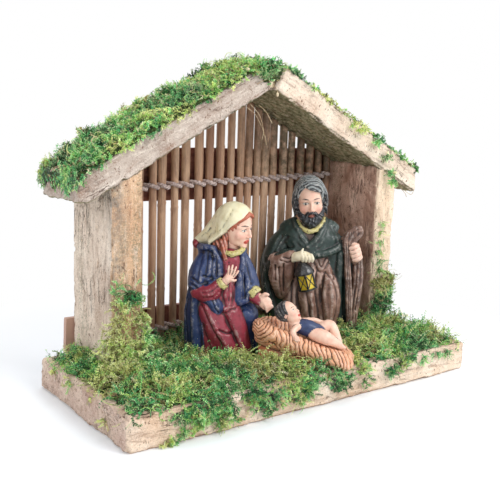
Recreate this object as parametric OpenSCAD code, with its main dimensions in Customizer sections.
// Small nativity stable: softboard slabs, a reed fence tied with twine, moss and three glued castings.
// X is the width, Y the depth with the open front at -Y, and Z goes up from the underside of the base.

/* [Base] */
// Width of the base board in mm
base_width = 161; // [100:1:260]
// Depth of the base board in mm
base_depth = 71; // [50:0.5:120]
// Thickness of the base board in mm
base_thickness = 11.6; // [6:0.1:20]

/* [Walls] */
// Thickness of both walls in mm
wall_thickness = 12.8; // [6:0.1:20]
// Depth of both walls in mm
wall_depth = 31.6; // [20:0.1:60]
// Distance from the left end of the base to the left wall in mm
left_wall_inset = 12.3; // [2:0.1:30]
// Distance from the right end of the base to the right wall in mm
right_wall_inset = 8.6; // [2:0.1:30]
// How far the right wall is turned out of square in degrees
right_wall_turn = 5; // [0:0.5:10]

/* [Roof] */
// Thickness of both roof boards in mm
roof_thickness = 9.6; // [5:0.1:18]
// Slope of the left roof board in degrees
left_pitch = 28.3; // [15:0.1:40]
// Slope of the right roof board in degrees
right_pitch = 27.3; // [15:0.1:40]
// Height at which the undersides of the roof boards meet in mm
ridge_height = 115.2; // [80:0.1:180]
// Reach of the left eave beyond the left wall in mm
left_eave = 12.2; // [4:0.1:30]
// Reach of the right eave beyond the right wall in mm
right_eave = 11.6; // [4:0.1:30]
// Distance of the left board's end from the ridge line in mm
left_joint = 4.7; // [1:0.1:10]
// Distance of the right board's end from the ridge line in mm
right_joint = 1.1; // [0.5:0.1:10]

/* [Fence] */
// Number of upright reeds
reed_count = 22; // [12:1:26]
// Diameter of each reed in mm
reed_diameter = 3.1; // [2:0.1:4]
// Diameter of one strand of twine in mm
twine_diameter = 1.15; // [0.6:0.05:1.4]
// Height of the upper row of twine in mm
upper_twine_height = 77; // [50:0.5:120]
// Height of the lower row of twine in mm
lower_twine_height = 19.4; // [14:0.1:40]
// Thickness of the flat rails in mm
rail_thickness = 2.2; // [1.2:0.1:4]
// Drop of the upper rail's lower edge below the top of the lower wall in mm
upper_rail_drop = 8.8; // [6:0.1:20]
// Breadth of the upper rail in mm
upper_rail_breadth = 21.4; // [6:0.1:30]
// Breadth of the lower rail in mm
lower_rail_breadth = 14.4; // [6:0.1:30]

/* [Moss] */
// Mean depth of the moss on the base in mm
ground_moss_depth = 3.6; // [1.5:0.1:6]
// Mean depth of the moss on the roof in mm
roof_moss_depth = 4.2; // [1.5:0.1:8]
// Depth of the moss on upright faces in mm
hanging_moss_depth = 2; // [1:0.1:4]

/* [Castings] */
// Height of the standing figure in mm
standing_height = 68.5; // [40:0.5:90]
// Height of the kneeling figure in mm
kneeling_height = 60.5; // [35:0.5:80]
// Length of the crib in mm
crib_length = 38; // [25:0.5:60]
// How far the castings are turned to the left front corner in degrees
castings_turn = 36.7; // [0:0.1:60]

/* [Fixings] */
// Diameter of the brads in mm
brad_diameter = 1.4; // [1:0.1:2]
// Length of the base and roof brads in mm
board_brad_length = 21; // [16:0.5:30]
// Length of the rail brads in mm
rail_brad_length = 9.5; // [7:0.1:14]

/* [Hidden] */
// Clearance between neighbouring pieces
fit_gap = 0.12;
// Clearance round a brad
brad_gap = 0.08;
// Clearance between the moss and anything it grows against
moss_gap = 0.25;
// Room that twine keeps from a reed
twine_gap = 0.12;
// Facets of the round brads and reeds
round_facets = 24;
// Facets of the castings' limbs and heads
figure_facets = 14;
// Facets round a loft of the castings
loft_facets = 26;
// Facets of a twine strand
twine_facets = 5;
// Rise of the twine rows toward the right as a share of their run
twine_rise_share = 0.035;
// Steps of a twine strand from one reed to the next, as shares of the way
twine_step_share = [0, 0.3, 0.5, 0.7];
// Wear of the roof boards' lower eave corners as shares of their thickness
left_chip_share = 0.22;
right_chip_share = 0.12;
// Depth of the moss at the right roof's front edge as a share of its depth at the back
right_thin_share = 0.3;
// Depth of the moss at a roof board's lower end as a share of its depth above it
eave_thin_share = 0.14;

// Turns that make the seeded wobble of worn edges and moss
wobble_turn = 137.5;
wobble_step = 71.3;
// Finer turns for the moss surface
moss_turn_u = 97;
moss_turn_v = 131;

// Wear of the board corners as a share of the board thickness
corner_wear_share = 0.08;
// Wear of the long board edges as a share of the board thickness
edge_wear_share = 0.1;
// Waviness of the board outlines as a share of the board thickness
outline_wear_share = 0.07;

// Main planes
base_left = -base_width / 2;
base_right = base_width / 2;
base_front = -base_depth / 2;
base_back = base_depth / 2;
wall_back = base_back - rail_thickness - 2 * fit_gap;
wall_front = wall_back - wall_depth;
left_outer = base_left + left_wall_inset;
left_inner = left_outer + wall_thickness;
right_outer = base_right - right_wall_inset;
right_inner = right_outer - wall_thickness;
left_tip = left_outer - left_eave;
right_tip = right_outer + right_eave;
roof_front = wall_front - 2 * fit_gap;
roof_back = wall_back;
ridge_x = 0;
tall = ridge_height * 2;

// Fence planes
reed_radius = reed_diameter / 2;
twine_radius = twine_diameter / 2;
reed_y = wall_back - fit_gap - twine_diameter - twine_gap - reed_radius;
fence_left = left_inner + reed_radius + 1.4 * twine_diameter;
fence_right = right_inner - (reed_y - wall_front) * tan(right_wall_turn)
    - reed_radius - twine_radius;
reed_pitch = (fence_right - fence_left) / (reed_count - 1);
// Shift of each reed along the fence as a share of the pitch
reed_shift_share = [
    0, 0.02, -0.03, 0.1, 0, 0.1, 0.12, 0.3, 0.34, 0.4, 0.42, 0.4,
    0.3, 0.12, -0.08, -0.16, -0.1, -0.14, -0.1, -0.04, 0, 0
];
// Lean of each reed in degrees
reed_lean = [0.3, -0.4, 0.2, 0.5, -0.2, 0.3, -0.5, 0.2, 0.4, -0.3, 0.2];
// Height of each reed's joint ring as a share of the reed
reed_joint_share = [0.3, 0.62, 0.45, 0.81, 0.22, 0.55, 0.38, 0.7, 0.26, 0.58, 0.84, 0.42, 0.66];
// Thickness of each reed as a share of the diameter
reed_size_share = [1, 0.94, 1.04, 0.97, 1.03, 0.92, 1, 1.02, 0.95, 1.02, 0.9, 0.94];
// Rise of the joint ring as a share of the reed radius
joint_rise_share = 0.1;
// Length of the joint ring as a share of the diameter
joint_length_share = 0.35;

// Rails
upper_rail_height = min(left_under(left_outer), right_under(right_outer)) - upper_rail_drop;
upper_rail_left = left_outer + wall_thickness * 0.35;
upper_rail_right = right_outer - wall_thickness * 0.35;
lower_rail_left = left_outer - wall_thickness * 0.27;
lower_rail_right = right_outer + wall_thickness * 0.2;

// Brads
brad_radius = brad_diameter / 2;
head_radius = brad_diameter * 0.95;
head_height = brad_diameter * 0.4;
// Places of the base and roof brads as shares of the wall depth
brad_share = [0.28, 0.62];
left_wall_middle = (left_outer + left_inner) / 2;
right_wall_middle = (right_outer + right_inner) / 2;
upper_brad_height = upper_rail_height + upper_rail_drop / 2;
lower_brad_height = base_thickness + lower_rail_breadth * 0.5;

// Castings: x as a share of the base width, y before the fence as a share of a height
standing_place = [base_width * 0.1938, reed_y - standing_height * 0.2644];
kneeling_place = [base_width * -0.1063, reed_y - kneeling_height * 0.44];
crib_place = [base_width * 0.0125, reed_y - standing_height * 0.7388];
casting_floor = base_thickness + fit_gap;

// Rows are height, x, y, half width, half depth in shares of the figure's height, then fold depth
standing_robe_share = [
    [0, 0.0175, 0.0088, 0.2277, 0.1431, 0.05],
    [0.073, 0.0131, 0.0088, 0.219, 0.1372, 0.055],
    [0.2044, 0.0058, 0.0058, 0.2146, 0.1314, 0.055],
    [0.3504, 0, 0.0029, 0.2102, 0.1285, 0.05],
    [0.4526, -0.0088, 0, 0.1985, 0.1255, 0.035],
    [0.5401, -0.0175, 0, 0.181, 0.1197, 0.02],
    [0.6131, -0.0204, 0, 0.1547, 0.1051, 0.01],
    [0.6715, -0.0204, 0, 0.1109, 0.0818, 0],
    [0.7226, -0.0175, 0, 0.0672, 0.0642, 0]
];
standing_cloak_share = [
    [0, -0.1255, 0.0438, 0.108, 0.1168, 0.05],
    [0.1168, -0.1343, 0.038, 0.1095, 0.1197, 0.06],
    [0.2336, -0.1431, 0.0321, 0.1139, 0.1226, 0.06],
    [0.3358, -0.1606, 0.0204, 0.1255, 0.1255, 0.05],
    [0.438, -0.1752, 0.0117, 0.1372, 0.1285, 0.04],
    [0.5255, -0.1606, 0.0088, 0.127, 0.1226, 0.03],
    [0.6131, -0.1226, 0.0088, 0.1051, 0.1051, 0.02],
    [0.6788, -0.073, 0.0058, 0.073, 0.0788, 0]
];
standing_shoulder_share = [
    [0.3942, 0.1343, 0.0146, 0.0905, 0.108, 0.03],
    [0.4818, 0.1372, 0.0117, 0.0964, 0.1109, 0.03],
    [0.5693, 0.1255, 0.0088, 0.0905, 0.1051, 0.02],
    [0.635, 0.1022, 0.0058, 0.0847, 0.0964, 0.01],
    [0.6861, 0.0496, 0.0029, 0.0672, 0.0759, 0]
];
// Rows are x, y, z and radius in shares of the figure's height
standing_sleeve_share = [
    [0.2307, -0.0219, 0.5401, 0.073],
    [0.2832, -0.038, 0.4584, 0.0453],
    [0.2657, -0.035, 0.3139, 0.035],
    [0.2569, -0.0321, 0.1752, 0.0292],
    [0.2423, -0.0292, 0.0584, 0.0263]
];
standing_arm_share = [
    [-0.2277, -0.0146, 0.4964, 0.0759],
    [-0.2482, -0.035, 0.435, 0.0642],
    [-0.1314, -0.1343, 0.4526, 0.0526],
    [-0.0964, -0.1547, 0.4613, 0.0438]
];
standing_staff_share = [
    [0.2715, -0.0905, 0.0117, 0.0175],
    [0.254, -0.0905, 0.292, 0.0182],
    [0.2423, -0.0905, 0.4818, 0.019],
    [0.2277, -0.0876, 0.5985, 0.0248],
    [0.2569, -0.0818, 0.6628, 0.0248],
    [0.292, -0.0759, 0.6715, 0.019],
    [0.3007, -0.073, 0.6336, 0.0131]
];
standing_scarf_share = [
    [-0.1314, -0.0934, 0.6365, 0.035],
    [-0.0657, -0.1285, 0.5635, 0.0336],
    [0.0146, -0.1431, 0.5255, 0.0336],
    [0.1022, -0.1314, 0.5343, 0.035],
    [0.1752, -0.0818, 0.5781, 0.038]
];
kneeling_body_share = [
    [0, -0.0628, 0.0231, 0.1967, 0.1752, 0.06],
    [0.0992, -0.0661, 0.0231, 0.1934, 0.1719, 0.065],
    [0.2066, -0.0711, 0.0198, 0.2017, 0.1686, 0.055],
    [0.314, -0.0777, 0.0165, 0.2066, 0.162, 0.045],
    [0.4298, -0.0777, 0.0099, 0.1901, 0.1455, 0.035],
    [0.5289, -0.0711, 0.0066, 0.1752, 0.1289, 0.02],
    [0.6281, -0.0612, 0.0033, 0.1521, 0.1124, 0.01],
    [0.6843, -0.0529, 0.0033, 0.1223, 0.0959, 0],
    [0.7273, -0.0231, 0.0033, 0.076, 0.0727, 0],
    [0.7603, 0.0033, 0.0033, 0.0562, 0.0595, 0]
];
kneeling_robe_share = [
    [0, 0.0231, -0.076, 0.119, 0.1058, 0.06],
    [0.0826, 0.0198, -0.076, 0.1091, 0.0992, 0.07],
    [0.1818, 0.0099, -0.076, 0.1025, 0.0926, 0.06],
    [0.281, -0.0033, -0.0727, 0.0992, 0.086, 0.05],
    [0.3967, -0.0099, -0.0595, 0.0926, 0.0793, 0.03],
    [0.5124, -0.0132, -0.043, 0.086, 0.0727, 0.02],
    [0.6281, -0.0099, -0.0264, 0.0727, 0.0628, 0]
];
kneeling_far_arm_share = [
    [0.0727, 0.0264, 0.605, 0.0545],
    [0.1091, 0.0132, 0.4959, 0.0612],
    [0.1421, -0.0099, 0.4364, 0.0612],
    [0.162, -0.0397, 0.4066, 0.0496]
];
kneeling_near_arm_share = [
    [-0.1388, -0.0496, 0.605, 0.0661],
    [-0.1818, -0.076, 0.4496, 0.076],
    [-0.0893, -0.1455, 0.4562, 0.0562],
    [-0.0231, -0.162, 0.486, 0.043]
];
kneeling_veil_share = [
    [-0.0165, 0.0231, 0.8264, 0.1091],
    [-0.0992, 0.043, 0.7669, 0.076],
    [-0.205, 0.0562, 0.7207, 0.0364]
];
// Rows are x, z, half height and half width in shares of the crib's length, then groove depth
crib_bundle_share = [
    [-0.5105, 0.2684, 0.0632, 0.1105, 0],
    [-0.4737, 0.2632, 0.1421, 0.1737, 0.05],
    [-0.3158, 0.2789, 0.15, 0.2211, 0.06],
    [-0.1316, 0.2289, 0.1447, 0.2421, 0.06],
    [0.0526, 0.1711, 0.1368, 0.2474, 0.06],
    [0.2368, 0.1211, 0.1211, 0.2421, 0.06],
    [0.3947, 0.0842, 0.0868, 0.2158, 0.06],
    [0.4737, 0.0658, 0.0579, 0.1632, 0.04],
    [0.5053, 0.0526, 0.0316, 0.0947, 0]
];
// Folds round each robe and straw grooves round the crib
robe_folds = 11;
mantle_folds = 7;
straw_grooves = 13;

// Names of the reeds, then of every piece
function reed_name(i) = str("reed_", i < 9 ? "0" : "", i + 1);

// Share from 0 to 1 that looks random but is the same each time
function wobble(i, seed) = (1 + sin(i * wobble_turn + seed * wobble_step)) / 2;
function bump(u, v, seed) = (
    2 + sin(u * moss_turn_u + seed * wobble_step) * cos(v * moss_turn_v - seed * wobble_turn)
    + sin(u * moss_turn_v * 1.7 - v * moss_turn_u * 1.3 + seed * wobble_turn)
) / 4;
function mix(a, b, t) = a + (b - a) * t;

// Underside heights of the roof boards at a given x
function left_under(x) = ridge_height - (ridge_x - x) * tan(left_pitch);
function right_under(x) = ridge_height - (x - ridge_x) * tan(right_pitch);

// One worn side of a board outline, without its corners
function worn_side(p, q, inward, n, wear, seed) = [
    for (k = [0:n - 1])
        let (c = wear * corner_wear_share / outline_wear_share / norm(q - p))
        mix(p, q, mix(c, 1 - c, k / (n - 1))) + inward * wear * wobble(k, seed)
];
function worn_outline(x0, x1, y0, y1, n, wear, seed) = concat(
    worn_side([x0, y0], [x1, y0], [0, 1], n, wear, seed),
    worn_side([x1, y0], [x1, y1], [-1, 0], n - 3, wear, seed + 1),
    worn_side([x1, y1], [x0, y1], [0, -1], n, wear, seed + 2),
    worn_side([x0, y1], [x0, y0], [1, 0], n - 3, wear, seed + 3)
);
// Board section with its long edges worn off
function worn_section(a0, a1, b0, b1, e) = [
    [a0 + e, b0], [a1 - e, b0], [a1 - e / 3, b0 + e / 3], [a1, b0 + e],
    [a1, b1 - e], [a1 - e / 3, b1 - e / 3], [a1 - e, b1],
    [a0 + e, b1], [a0 + e / 3, b1 - e / 3], [a0, b1 - e],
    [a0, b0 + e], [a0 + e / 3, b0 + e / 3]
];
function turned(p, pivot, a) = pivot + [
    (p.x - pivot.x) * cos(a) - (p.y - pivot.y) * sin(a),
    (p.x - pivot.x) * sin(a) + (p.y - pivot.y) * cos(a)
];

// Closed skin between an outer and an inner grid of points
module skin(outer, inner) {
    nu = len(outer);
    nv = len(outer[0]);
    total = nu * nv;
    flat_outer = [for (row = outer) for (p = row) p];
    flat_inner = [for (row = inner) for (p = row) p];
    top = [
        for (i = [0:nu - 2]) for (j = [0:nv - 2])
            each [
                [i * nv + j, i * nv + j + 1, (i + 1) * nv + j + 1],
                [i * nv + j, (i + 1) * nv + j + 1, (i + 1) * nv + j]
            ]
    ];
    under = [for (f = top) [f[2] + total, f[1] + total, f[0] + total]];
    rim = concat(
        [for (j = [0:nv - 1]) j],
        [for (i = [1:nu - 1]) i * nv + nv - 1],
        [for (j = [nv - 2:-1:0]) (nu - 1) * nv + j],
        [for (i = [nu - 2:-1:1]) i * nv]
    );
    count = len(rim);
    side = [
        for (k = [0:count - 1])
            let (a = rim[k], b = rim[(k + 1) % count])
            each [[b, a, a + total], [b, a + total, b + total]]
    ];
    polyhedron(points = concat(flat_outer, flat_inner), faces = concat(top, under, side));
}

// Closed loft through rings of equal length
module loft(rings) {
    n = len(rings[0]);
    m = len(rings);
    walls = [
        for (i = [0:m - 2]) for (k = [0:n - 1])
            let (a = i * n + k, b = i * n + (k + 1) % n)
            each [[a, a + n, b + n], [a, b + n, b]]
    ];
    low = [for (k = [0:n - 1]) k];
    high = [for (k = [n - 1:-1:0]) (m - 1) * n + k];
    polyhedron(points = [for (r = rings) for (p = r) p], faces = concat(walls, [low, high]));
}

// Ring of a draped loft at one table row
function drape_ring(row, size, folds, seed, grow = 0) = [
    for (k = [0:loft_facets - 1])
        let (
            a = 360 * k / loft_facets,
            fold = 1 + row[5] * sin(a * folds + seed * wobble_turn + row[0] * wobble_step)
        )
        [
            row[1] * size + (row[3] * size * fold + grow) * cos(a),
            row[2] * size + (row[4] * size * fold + grow) * sin(a),
            row[0] * size
        ]
];
module drape(table, size, folds, seed) {
    loft([for (row = table) drape_ring(row, size, folds, seed)]);
}
// Footprint of a draped loft, grown for the moss round it
module drape_print(table, size, folds, seed, grow) {
    translate([0, 0, -fit_gap]) linear_extrude(size)
        polygon([for (p = drape_ring(table[0], size, folds, seed, grow)) [p.x, p.y]]);
}
// Limb made of balls at the table's points, each joined to the next
module limb(table, size) {
    for (k = [0:len(table) - 2])
        hull() {
            limb_ball(table[k], size);
            limb_ball(table[k + 1], size);
        }
}
module limb_ball(row, size) {
    translate([row[0], row[1], row[2]] * size) sphere(row[3] * size, $fn = figure_facets);
}
module egg(place, radii, size) {
    translate(place * size) scale(radii * size) sphere(1, $fn = figure_facets);
}

module brad(length) {
    cylinder(h = length, r = brad_radius, $fn = round_facets);
    cylinder(h = head_height, r = head_radius, $fn = round_facets);
}
module brad_bore(length) {
    translate([0, 0, -head_height]) cylinder(
        h = length + head_height + brad_gap,
        r = brad_radius + brad_gap,
        $fn = round_facets
    );
    translate([0, 0, -head_height]) cylinder(
        h = 2 * head_height + brad_gap,
        r = head_radius + brad_gap,
        $fn = round_facets
    );
}

// Places of the brads; each child is drawn with its head at the place and its point inward
function brad_y(k) = wall_front + wall_depth * brad_share[k];
module at_base_brad(i) {
    x = i < 2 ? left_wall_middle : right_wall_middle;
    translate([x, brad_y(i % 2), 0]) children();
}
module at_roof_brad(i) {
    left = i < 2;
    x = left ? left_wall_middle : right_wall_middle;
    z = left ? left_under(x) : right_under(x);
    a = left ? -left_pitch : right_pitch;
    translate([x, brad_y(i % 2), z]) rotate([0, a, 0]) translate([0, 0, roof_thickness])
        mirror([0, 0, 1]) children();
}
module at_rail_brad(i) {
    x = i % 2 == 0 ? left_wall_middle : right_wall_middle;
    z = i < 2 ? upper_brad_height : lower_brad_height;
    translate([x, wall_back + fit_gap + rail_thickness, z]) rotate([90, 0, 0]) children();
}

module base_board() {
    t = base_thickness;
    color([0.86, 0.74, 0.62]) difference() {
        intersection() {
            linear_extrude(t) polygon(worn_outline(
                base_left, base_right, base_front, base_back, 9, t * outline_wear_share, 1
            ));
            rotate([90, 0, 90]) linear_extrude(base_width * 2, center = true)
                polygon(worn_section(base_front, base_back, 0, t, t * edge_wear_share));
            rotate([90, 0, 0]) linear_extrude(base_depth * 2, center = true)
                polygon(worn_section(base_left, base_right, 0, t, t * edge_wear_share));
        }
        for (i = [0:3]) at_base_brad(i) brad_bore(board_brad_length);
    }
}

// A wall standing between the base and the roof, cut to the slope of its roof board
module wall_blank(plan, high, front, back) {
    intersection() {
        translate([0, 0, base_thickness + fit_gap]) linear_extrude(tall) polygon(plan);
        translate([0, back, 0]) rotate([90, 0, 0]) linear_extrude(back - front) polygon(high);
    }
}
function left_wall_plan() = worn_outline(
    left_outer, left_inner, wall_front, wall_back, 5, wall_thickness * outline_wear_share, 11
);
function right_wall_plan() = [
    for (p = worn_outline(
        right_inner, right_outer, wall_front, wall_back, 5, wall_thickness * outline_wear_share, 17
    )) turned(p, [right_inner, wall_front], right_wall_turn)
];
module left_wall() {
    gap = fit_gap / cos(left_pitch);
    a = left_outer - wall_thickness;
    b = left_inner + wall_thickness;
    color([0.85, 0.7, 0.55]) difference() {
        wall_blank(
            left_wall_plan(),
            [[a, 0], [b, 0], [b, left_under(b) - gap], [a, left_under(a) - gap]],
            wall_front - wall_thickness, wall_back + wall_thickness
        );
        for (i = [0, 1]) at_base_brad(i) brad_bore(board_brad_length);
        for (i = [0, 1]) at_roof_brad(i) brad_bore(board_brad_length);
        for (i = [0, 2]) at_rail_brad(i) brad_bore(rail_brad_length);
    }
}
module right_wall() {
    gap = fit_gap / cos(right_pitch);
    a = right_inner - wall_thickness;
    b = right_outer + wall_thickness;
    color([0.82, 0.66, 0.52]) difference() {
        wall_blank(
            right_wall_plan(),
            [[a, 0], [b, 0], [b, right_under(b) - gap], [a, right_under(a) - gap]],
            wall_front - wall_thickness, wall_back
        );
        for (i = [2, 3]) at_base_brad(i) brad_bore(board_brad_length);
        for (i = [2, 3]) at_roof_brad(i) brad_bore(board_brad_length);
        for (i = [1, 3]) at_rail_brad(i) brad_bore(rail_brad_length);
    }
}

// A roof board from its square ridge end to its upright eave end
module roof_blank(high, tip, pitch, seed) {
    t = roof_thickness;
    near = min(ridge_x + sign(-tip) * t, tip);
    far = max(ridge_x + sign(-tip) * t, tip);
    intersection() {
        translate([0, roof_back, 0]) rotate([90, 0, 0])
            linear_extrude(roof_back - roof_front) polygon(high);
        linear_extrude(tall) polygon(worn_outline(
            near, far, roof_front, roof_back, 8, t * outline_wear_share, seed
        ));
        translate([ridge_x, 0, ridge_height]) rotate([0, pitch, 0]) rotate([90, 0, 90])
            linear_extrude(base_width * 2, center = true)
                polygon(worn_section(roof_front, roof_back, 0, t, t * edge_wear_share));
    }
}
module left_roof_board() {
    p = left_pitch;
    t = roof_thickness;
    foot = [ridge_x - left_joint * cos(p), ridge_height - left_joint * sin(p)];
    chip = t * left_chip_share / tan(p);
    color([0.84, 0.7, 0.54]) difference() {
        roof_blank([
            [left_tip, left_under(left_tip + chip)], [left_tip + chip, left_under(left_tip + chip)], foot,
            foot + t * [-sin(p), cos(p)], [left_tip, left_under(left_tip) + t / cos(p)]
        ], left_tip, -p, 23);
        for (i = [0, 1]) at_roof_brad(i) brad_bore(board_brad_length);
    }
}
module right_roof_board() {
    p = right_pitch;
    t = roof_thickness;
    foot = [ridge_x + right_joint * cos(p), ridge_height - right_joint * sin(p)];
    chip = t * right_chip_share / tan(p);
    color([0.86, 0.74, 0.6]) difference() {
        roof_blank([
            foot, [right_tip - chip, right_under(right_tip - chip)],
            [right_tip, right_under(right_tip - chip)],
            [right_tip, right_under(right_tip) + t / cos(p)], foot + t * [sin(p), cos(p)]
        ], right_tip, p, 31);
        for (i = [2, 3]) at_roof_brad(i) brad_bore(board_brad_length);
    }
}

module rail(x0, x1, z0, breadth, seed) {
    difference() {
        translate([0, wall_back + fit_gap + rail_thickness, 0]) rotate([90, 0, 0])
            linear_extrude(rail_thickness) polygon(worn_outline(
                x0, x1, z0, z0 + breadth, 6, rail_thickness * outline_wear_share * 4, seed
            ));
        children();
    }
}
module upper_rail() {
    color([0.47, 0.3, 0.23])
        rail(upper_rail_left, upper_rail_right, upper_rail_height, upper_rail_breadth, 41)
            for (i = [0, 1]) at_rail_brad(i) brad_bore(rail_brad_length);
}
module lower_rail() {
    z = base_thickness + fit_gap;
    color([0.45, 0.28, 0.22])
        rail(lower_rail_left, lower_rail_right, z, lower_rail_breadth, 43)
            for (i = [2, 3]) at_rail_brad(i) brad_bore(rail_brad_length);
}

function pick(table, i) = table[i % len(table)];
function reed_x(i) = fence_left + reed_pitch * (i + pick(reed_shift_share, i));
function reed_top(x) = min(left_under(x - reed_radius), right_under(x + reed_radius));
// Room under the roof that the reeds are sawn to
function under_roof(gap) = [
    [left_inner, 0], [right_inner, 0], [right_inner, right_under(right_inner) - gap],
    [ridge_x, ridge_height - gap], [left_inner, left_under(left_inner) - gap]
];
module reed(i) {
    x = reed_x(i);
    r = reed_radius * pick(reed_size_share, i);
    z = base_thickness + fit_gap;
    length = min(left_under(x + reed_diameter), right_under(x - reed_diameter)) - z;
    joint = length * pick(reed_joint_share, i);
    half = reed_diameter * joint_length_share / 2;
    bevel = r * joint_rise_share * 2;
    color([0.58, 0.45, 0.34]) intersection() {
        translate([x, reed_y, z]) rotate([0, pick(reed_lean, i) / 3, 0])
            rotate_extrude($fn = round_facets) polygon([
                [0, bevel * 0.2], [r - bevel, bevel * 0.2], [r, bevel * 1.2],
                [r, joint - half], [r * (1 + joint_rise_share), joint], [r * 0.97, joint + half],
                [r * 0.95, length], [0, length]
            ]);
        translate([0, wall_back, 0]) rotate([90, 0, 0]) linear_extrude(wall_depth)
            polygon(under_roof(2 * fit_gap));
    }
}

// Middle line of one twine strand: it passes before and behind the reeds by turns
function squared(c) = sign(c) * pow(abs(c), 0.36);
function twine_point(i, s, side, z) =
    let (
        a = 180 * (i + s),
        x = mix(reed_x(i), reed_x(i + 1), s),
        away = reed_radius + twine_radius + twine_gap,
        rise = (twine_radius + twine_gap / 2) * side * sin(a)
    )
    [x, reed_y + side * away * squared(cos(a)), z + rise + twine_sag(x)];
function twine_sag(x) = (x - ridge_x) * twine_rise_share;
// Reeds that reach above a row of twine; the row runs from the first to the last of them
function tied_reeds(z) = [
    for (i = [0:reed_count - 1])
        if (reed_top(reed_x(i)) - 2 * reed_diameter > z + twine_sag(reed_x(i))) i
];
function twine_path(side, z) =
    let (tied = tied_reeds(z), first = tied[0], last = tied[len(tied) - 1])
    [
        for (i = [first:last - 1]) for (s = twine_step_share)
            twine_point(i, s, side, z),
        twine_point(last - 1, 1, side, z)
    ];
function unit(v) = v / norm(v);
module twine(side, z) {
    path = twine_path(side, z);
    last = len(path) - 1;
    loft([
        for (k = [0:last])
            let (
                way = unit(path[min(k + 1, last)] - path[max(k - 1, 0)]),
                out = unit(cross(way, [0, 0, 1])),
                up = cross(out, way)
            )
            [
                for (j = [0:twine_facets - 1])
                    let (a = -360 * j / twine_facets)
                    path[k] + twine_radius * (out * cos(a) + up * sin(a))
            ]
    ]);
}

// Glue and moss in the gap between the square ends of the roof boards
function ridge_face(side, n) = side < 0
    ? [
        ridge_x - left_joint * cos(left_pitch) - n * sin(left_pitch),
        ridge_height - left_joint * sin(left_pitch) + n * cos(left_pitch)
    ]
    : [
        ridge_x + right_joint * cos(right_pitch) + n * sin(right_pitch),
        ridge_height - right_joint * sin(right_pitch) + n * cos(right_pitch)
    ];
module ridge_glue() {
    c = [fit_gap, 0];
    low = roof_thickness * edge_wear_share;
    high = roof_thickness * 0.36;
    color([0.8, 0.72, 0.55]) translate([0, roof_back - roof_thickness * 0.2, 0]) rotate([90, 0, 0])
        linear_extrude(roof_back - roof_front - roof_thickness * 0.4) polygon([
            ridge_face(-1, low) + c, ridge_face(1, low) - c,
            ridge_face(1, high) - c, ridge_face(-1, high) + c
        ]);
}
module ridge_moss() {
    c = [moss_gap, 0];
    low = roof_thickness * 0.36 + moss_gap;
    rows = 9;
    bulge = roof_moss_depth * 0.45;
    core = (ridge_face(-1, roof_thickness) + ridge_face(1, roof_thickness)) / 2;
    color([0.25, 0.42, 0.16]) loft([
        for (j = [-1:rows + 1])
            let (
                inside = j >= 0 && j <= rows,
                y = inside ? mix(roof_front, roof_back, j / rows)
                    : j < 0 ? roof_front - bulge : roof_back + bulge,
                draw = inside ? 1 : 0.62,
                rise = roof_moss_depth * mix(0.6, 1.1, wobble(j, 3)),
                lump = roof_moss_depth * mix(0.1, 0.5, wobble(j, 4))
            )
            [
                for (p = [
                    ridge_face(-1, low) + c,
                    ridge_face(-1, roof_thickness) + c,
                    ridge_face(-1, roof_thickness) + [lump, rise],
                    core + [0, rise * 1.25],
                    ridge_face(1, roof_thickness) + [-lump, rise * 0.7],
                    ridge_face(1, roof_thickness) - c,
                    ridge_face(1, low) - c
                ]) let (q = mix(core, p, draw)) [q.x, y, q.y]
            ]
    ]);
}

// Moss over a roof board: along the slope, over the eave end, and over both long edges
function roof_point(side, q, drop, out, lift) =
    let (
        pitch = side < 0 ? left_pitch : right_pitch,
        tip = side < 0 ? left_tip : right_tip,
        away = [side * cos(pitch), -sin(pitch)],
        start = ridge_face(side, roof_thickness) + roof_thickness * 0.03 * away,
        under = side < 0 ? left_under(tip) : right_under(tip),
        corner = [tip, under + roof_thickness / cos(pitch)],
        over = min(q, 1)
    )
    [
        mix(start.x, corner.x, over) + side * (lift * sin(pitch) + out),
        mix(start.y, corner.y, over) + lift * cos(pitch) - drop
    ];
module roof_moss(side, cells, thin, eave_drop, front_drop, seed) {
    rows = 10;
    grid = function (outer) [
        for (i = [0:cells + 2]) [
            for (j = [0:rows])
                let (
                    q = i / cells,
                    depth = roof_moss_depth * mix(thin, 1, j / rows),
                    past = max(0, i - cells),
                    edge = j == 0 || j == rows ? 1 : 0,
                    rim = j <= 1 || j >= rows - 1 ? 1 : 0,
                    taper = mix(eave_thin_share, 1, min(1, (cells - min(i, cells)) / 3)),
                    thick = depth * mix(0.55, 1.35, bump(i, j, seed)) * (rim == 1 ? 0.6 : 1) * taper,
                    out = past == 0 ? 0 : moss_gap + (outer ? thick * 0.7 : 0),
                    drop = (past == 2 ? eave_drop * mix(0.45, 1, wobble(j, seed)) : 0)
                        + edge * front_drop * mix(0.4, 1, wobble(i, seed + 1)),
                    lift = moss_gap * 1.5 + (outer ? thick * (past == 2 ? 0.2 : 1) * (1 - edge * 0.75) : 0),
                    p = roof_point(side, min(q, 1), drop, out, lift),
                    reach = moss_gap + edge * moss_gap + (outer ? depth * (0.25 - edge * 0.1) : 0),
                    y = j <= 1 ? roof_front - reach
                        : j >= rows - 1 ? roof_back + reach
                        : mix(roof_front, roof_back, (j - 1) / (rows - 2))
                )
                [p.x, y, p.y]
        ]
    ];
    if (side < 0)
        skin([for (row = grid(true)) reversed(row)], [for (row = grid(false)) reversed(row)]);
    else
        skin(grid(true), grid(false));
}
function reversed(row) = [for (k = [len(row) - 1:-1:0]) row[k]];

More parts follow.
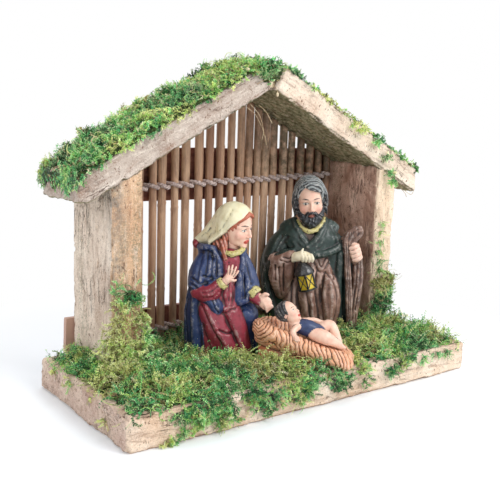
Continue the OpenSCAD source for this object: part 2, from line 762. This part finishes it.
// Moss on an upright face that looks to the front, between two heights
module hanging_moss(x0, x1, face, low, high, cells, rows, seed) {
    grid = function (outer) [
        for (i = [0:cells]) [
            for (j = [0:rows])
                let (
                    x = mix(x0, x1, i / cells),
                    foot = low(i / cells),
                    head = high(i / cells),
                    thin = i == 0 || i == cells || j == 0 || j == rows ? 0.35 : 1,
                    thick = hanging_moss_depth * mix(0.5, 1.3, bump(i, j, seed)) * thin
                )
                [x, face - moss_gap - (outer ? thick : 0), mix(foot, head, j / rows)]
        ]
    ];
    skin(grid(true), grid(false));
}
module front_rim_moss() {
    top = base_thickness + ground_moss_depth * 0.35;
    color([0.33, 0.52, 0.18]) hanging_moss(
        mix(base_left, base_right, 0.09), mix(base_left, base_right, 0.8), base_front,
        function (s) base_thickness * mix(
            mix(mix(0.08, 0.46, pow(abs(s - 0.32) / 0.68, 0.8)), 0.8, 0.35 * wobble(s * 24, 7)),
            0.9, pow(abs(2 * s - 1), 6)
        ),
        function (s) top, 26, 5, 51
    );
}
module left_wall_moss() {
    low = base_thickness + ground_moss_depth * 1.75;
    color([0.34, 0.5, 0.17]) hanging_moss(
        mix(left_outer, left_inner, 0.06), mix(left_outer, left_inner, 0.97), wall_front,
        function (s) low,
        function (s) low + wall_depth * mix(0.3, 1.08, sqrt(s)) * mix(0.85, 1, wobble(s * 8, 9)),
        8, 9, 53
    );
}
module right_wall_moss() {
    low = base_thickness + ground_moss_depth * 1.75;
    color([0.3, 0.47, 0.17]) hanging_moss(
        mix(right_inner, right_outer, 0.1), mix(right_inner, right_outer, 0.95),
        wall_front, function (s) low,
        function (s) low + wall_depth * mix(0.95, 0.6, s) * mix(0.9, 1, wobble(s * 7, 2)),
        7, 8, 57
    );
}

module at_casting(place) {
    translate([place.x, place.y, casting_floor])
        rotate([0, 0, -castings_turn]) children();
}
// Moss round the walls, the fence and the castings
module ground_moss() {
    cells = 40;
    rows = 17;
    rim = base_thickness * outline_wear_share + moss_gap;
    grid = function (outer) [
        for (i = [0:cells]) [
            for (j = [0:rows])
                let (
                    edge = i == 0 || i == cells || j == 0 || j == rows ? 0.15 : 1,
                    ring = i == 1 || i == cells - 1 || j == 1 ? 0.7 : 1,
                    thick = ground_moss_depth * mix(0.55, 1.55, bump(i, j, 61)) * edge * ring,
                    x = mix(base_left + rim * 2, base_right - rim * 2, i / cells),
                    y = mix(base_front + rim, wall_back - rim, j / rows)
                )
                [x, y, base_thickness + moss_gap / 2 + (outer ? thick : 0)]
        ]
    ];
    color([0.36, 0.52, 0.2]) difference() {
        union() {
            skin(grid(true), grid(false));
            for (i = [0:11]) moss_tuft(i);
        }
        linear_extrude(tall) offset(delta = moss_gap) polygon(left_wall_plan());
        linear_extrude(tall) offset(delta = moss_gap) polygon(right_wall_plan());
        translate([left_inner - wall_thickness / 2, reed_y - reed_diameter * 1.2, 0])
            cube([right_outer - left_inner, base_depth, tall]);
        at_casting(standing_place) {
            drape_print(standing_robe_share, standing_height, robe_folds, 1, moss_gap * 2);
            drape_print(standing_cloak_share, standing_height, mantle_folds, 2, moss_gap * 3);
            hull() for (row = [standing_staff_share[0], standing_sleeve_share[4]])
                translate([row[0], row[1], 0] * standing_height)
                    cylinder(h = tall, r = row[3] * standing_height + moss_gap * 2, $fn = figure_facets);
        }
        at_casting(kneeling_place) {
            drape_print(kneeling_body_share, kneeling_height, mantle_folds, 3, moss_gap * 3);
            drape_print(kneeling_robe_share, kneeling_height, robe_folds, 4, moss_gap * 2);
        }
        at_casting(crib_place) crib_print();
    }
}
// Outline of the crib from above, grown for the moss
module crib_print() {
    n = len(crib_bundle_share) - 1;
    grow = moss_gap * 2.4;
    half = function (k) crib_bundle_share[k][3] * crib_length + grow;
    along = function (k) crib_bundle_share[k][0] * crib_length
        + (k == 0 ? -grow : k == n ? grow : 0);
    linear_extrude(tall) polygon(concat(
        [for (k = [0:n]) [along(k), -half(k)]],
        [for (k = [n:-1:0]) [along(k), half(k)]]
    ));
}
// Places of upright tufts as shares of the base
tuft_share = [
    [-.43, -.3], [-.36, -.14], [-.3, -.36], [-.24, -.2], [-.19, -.38], [-.33, .02],
    [.22, -.36], [.3, -.22], [.38, -.3], [.44, -.08], [.25, -.1], [.34, -.1]
];
module moss_tuft(i) {
    p = tuft_share[i];
    r = ground_moss_depth * mix(0.35, 0.6, wobble(i, 8));
    lean = ground_moss_depth * 0.4;
    low = base_thickness + ground_moss_depth * 0.35;
    translate([p[0] * base_width, p[1] * base_depth, low]) hull() {
        cylinder(h = r, r = r, $fn = 6);
        translate([lean * (wobble(i, 3) - 0.5), lean * (wobble(i, 6) - 0.5), ground_moss_depth])
            cylinder(h = r / 2, r = r / 2, $fn = 5);
    }
}

module standing_figure() {
    s = standing_height;
    color([0.35, 0.3, 0.28]) at_casting(standing_place) union() {
        drape(standing_robe_share, s, robe_folds, 1);
        drape(standing_cloak_share, s, mantle_folds, 2);
        drape(standing_shoulder_share, s, mantle_folds, 5);
        limb(standing_sleeve_share, s);
        limb(standing_arm_share, s);
        limb(standing_staff_share, s);
        limb(standing_scarf_share, s);
        standing_head(s);
        // hand over the lantern, then the hand on the staff
        egg([-0.045, -0.172, 0.483], [0.055, 0.036, 0.036], s);
        egg([0.275, -0.075, 0.522], [0.036, 0.036, 0.045], s);
        lantern(s);
    }
}
module standing_head(s) {
    // neck and collar, face, hair and beard
    translate([-0.016, -0.01, 0.66] * s) cylinder(h = 0.07 * s, r = 0.062 * s, $fn = figure_facets);
    translate([-0.016, -0.02, 0.665] * s)
        cylinder(h = 0.03 * s, r1 = 0.09 * s, r2 = 0.078 * s, $fn = figure_facets);
    egg([-0.014, -0.03, 0.823], [0.092, 0.096, 0.125], s);
    egg([-0.018, 0.012, 0.86], [0.114, 0.116, 0.139], s);
    egg([-0.008, -0.075, 0.745], [0.07, 0.056, 0.062], s);
    hull() {
        egg([-0.014, -0.118, 0.825], [0.014, 0.012, 0.014], s);
        egg([-0.014, -0.126, 0.795], [0.019, 0.014, 0.012], s);
    }
}
module lantern(s) {
    // ring, roof, glazed body with six sides and foot plate
    translate([-0.036, -0.186, 0] * s) {
        translate([0, 0, 0.275] * s) cylinder(h = 0.016 * s, r = 0.066 * s, $fn = 6);
        translate([0, 0, 0.285] * s)
            cylinder(h = 0.09 * s, r1 = 0.058 * s, r2 = 0.066 * s, $fn = 6);
        translate([0, 0, 0.37] * s) cylinder(h = 0.014 * s, r = 0.076 * s, $fn = 6);
        translate([0, 0, 0.38] * s)
            cylinder(h = 0.065 * s, r1 = 0.07 * s, r2 = 0.026 * s, $fn = 6);
        translate([0, 0, 0.44] * s) cylinder(h = 0.03 * s, r = 0.022 * s, $fn = figure_facets);
    }
}

module kneeling_figure() {
    s = kneeling_height;
    color([0.2, 0.28, 0.42]) at_casting(kneeling_place) union() {
        drape(kneeling_body_share, s, mantle_folds, 3);
        drape(kneeling_robe_share, s, robe_folds, 4);
        limb(kneeling_far_arm_share, s);
        limb(kneeling_near_arm_share, s);
        limb(kneeling_veil_share, s);
        // face and neck, veil, far knee and the bunched cloth at the near hip
        egg([0.03, -0.02, 0.83], [0.088, 0.092, 0.122], s);
        egg([-0.008, 0.012, 0.852], [0.118, 0.116, 0.146], s);
        translate([0.015, -0.01, 0.7] * s) cylinder(h = 0.08 * s, r = 0.056 * s, $fn = figure_facets);
        egg([0.105, 0.02, 0.262], [0.082, 0.082, 0.09], s);
        egg([-0.086, -0.15, 0.305], [0.05, 0.042, 0.06], s);
        // open hand held out, then the hand on the chest
        hull() {
            egg([0.19, -0.05, 0.395], [0.034, 0.036, 0.028], s);
            egg([0.262, -0.07, 0.355], [0.036, 0.042, 0.026], s);
        }
        egg([0.245, -0.03, 0.39], [0.03, 0.014, 0.016], s);
        hull() {
            egg([0, -0.158, 0.51], [0.026, 0.024, 0.024], s);
            egg([0.03, -0.15, 0.565], [0.026, 0.016, 0.036], s);
        }
    }
}

// Straw bundle: rings run along X and the grooves wind round them
module straw_bundle(s) {
    loft([
        for (row = crib_bundle_share)
            [
                for (k = [0:loft_facets - 1])
                    let (
                        a = 360 * k / loft_facets,
                        groove = 1 + row[4] * sin(a * straw_grooves / 2 + row[0] * 900),
                        z = row[1] * s + row[2] * s * groove * sin(a)
                    )
                    [row[0] * s, row[3] * s * groove * cos(a), max(0, z)]
            ]
    ]);
}
module crib_with_infant() {
    s = crib_length;
    color([0.83, 0.56, 0.4]) at_casting(crib_place) union() {
        straw_bundle(s);
        // block under the high end
        hull() for (row = [[-0.42, 0.12], [-0.2, 0.16]])
            translate([row[0], 0, 0] * s) cylinder(h = 0.2 * s, r = row[1] * s, $fn = figure_facets);
        // straw pillow, then the infant lying in the hollow
        hull() for (side = [-1, 1]) egg([-0.24, side * 0.07, 0.37], [0.15, 0.1, 0.085], s);
        translate([0, 0, -0.025] * s) infant(s);
    }
}
module infant(s) {
    // head with hair, torso, near arm, far arm, both legs
    hull() {
        egg([-0.185, 0, 0.525], [0.108, 0.1, 0.118], s);
        egg([-0.17, 0, 0.535], [0.1, 0.09, 0.105], s);
    }
    egg([-0.222, 0.012, 0.51], [0.098, 0.104, 0.118], s);
    egg([-0.1, 0, 0.42], [0.062, 0.072, 0.066], s);
    egg([0.04, 0, 0.36], [0.165, 0.122, 0.098], s);
    for (side = [-1, 1]) {
        hull() {
            egg([-0.02, side * 0.105, 0.36], [0.05, 0.045, 0.045], s);
            egg([-0.08 + side * 0.05, side * 0.15, 0.3], [0.042, 0.038, 0.036], s);
        }
        hull() {
            egg([0.16, side * 0.06, 0.32], [0.07, 0.055, 0.055], s);
            egg([0.26 + side * 0.015, side * 0.08, 0.335], [0.05, 0.045, 0.045], s);
        }
        hull() {
            egg([0.26 + side * 0.015, side * 0.08, 0.335], [0.05, 0.045, 0.045], s);
            egg([0.355, side * 0.045, 0.225], [0.045, 0.036, 0.036], s);
        }
    }
}

base_board();
left_wall();
right_wall();
left_roof_board();
right_roof_board();
upper_rail();
lower_rail();
for (i = [0:reed_count - 1]) reed(i);
color([0.62, 0.55, 0.5]) twine(1, upper_twine_height);  // upper_twine_a
color([0.62, 0.55, 0.5]) twine(-1, upper_twine_height);  // upper_twine_b
color([0.62, 0.55, 0.5]) twine(1, lower_twine_height);  // lower_twine_a
color([0.62, 0.55, 0.5]) twine(-1, lower_twine_height);  // lower_twine_b
for (i = [0:3])
    color([0.6, 0.6, 0.62]) at_base_brad(i) brad(board_brad_length);
for (i = [0:3])
    color([0.6, 0.6, 0.62]) at_roof_brad(i) brad(board_brad_length);
for (i = [0:3])
    color([0.6, 0.6, 0.62]) at_rail_brad(i) brad(rail_brad_length);
ridge_glue();
ridge_moss();
color([0.35, 0.55, 0.18]) roof_moss(-1, 18, 1, roof_thickness * 0.75, roof_thickness * 0.1, 71);  // left_roof_moss
color([0.32, 0.52, 0.18]) roof_moss(  // right_roof_moss
        1, 18, right_thin_share, roof_thickness * 0.2, roof_thickness * 0.08, 83
    );
ground_moss();
front_rim_moss();
left_wall_moss();
right_wall_moss();
kneeling_figure();
standing_figure();
crib_with_infant();
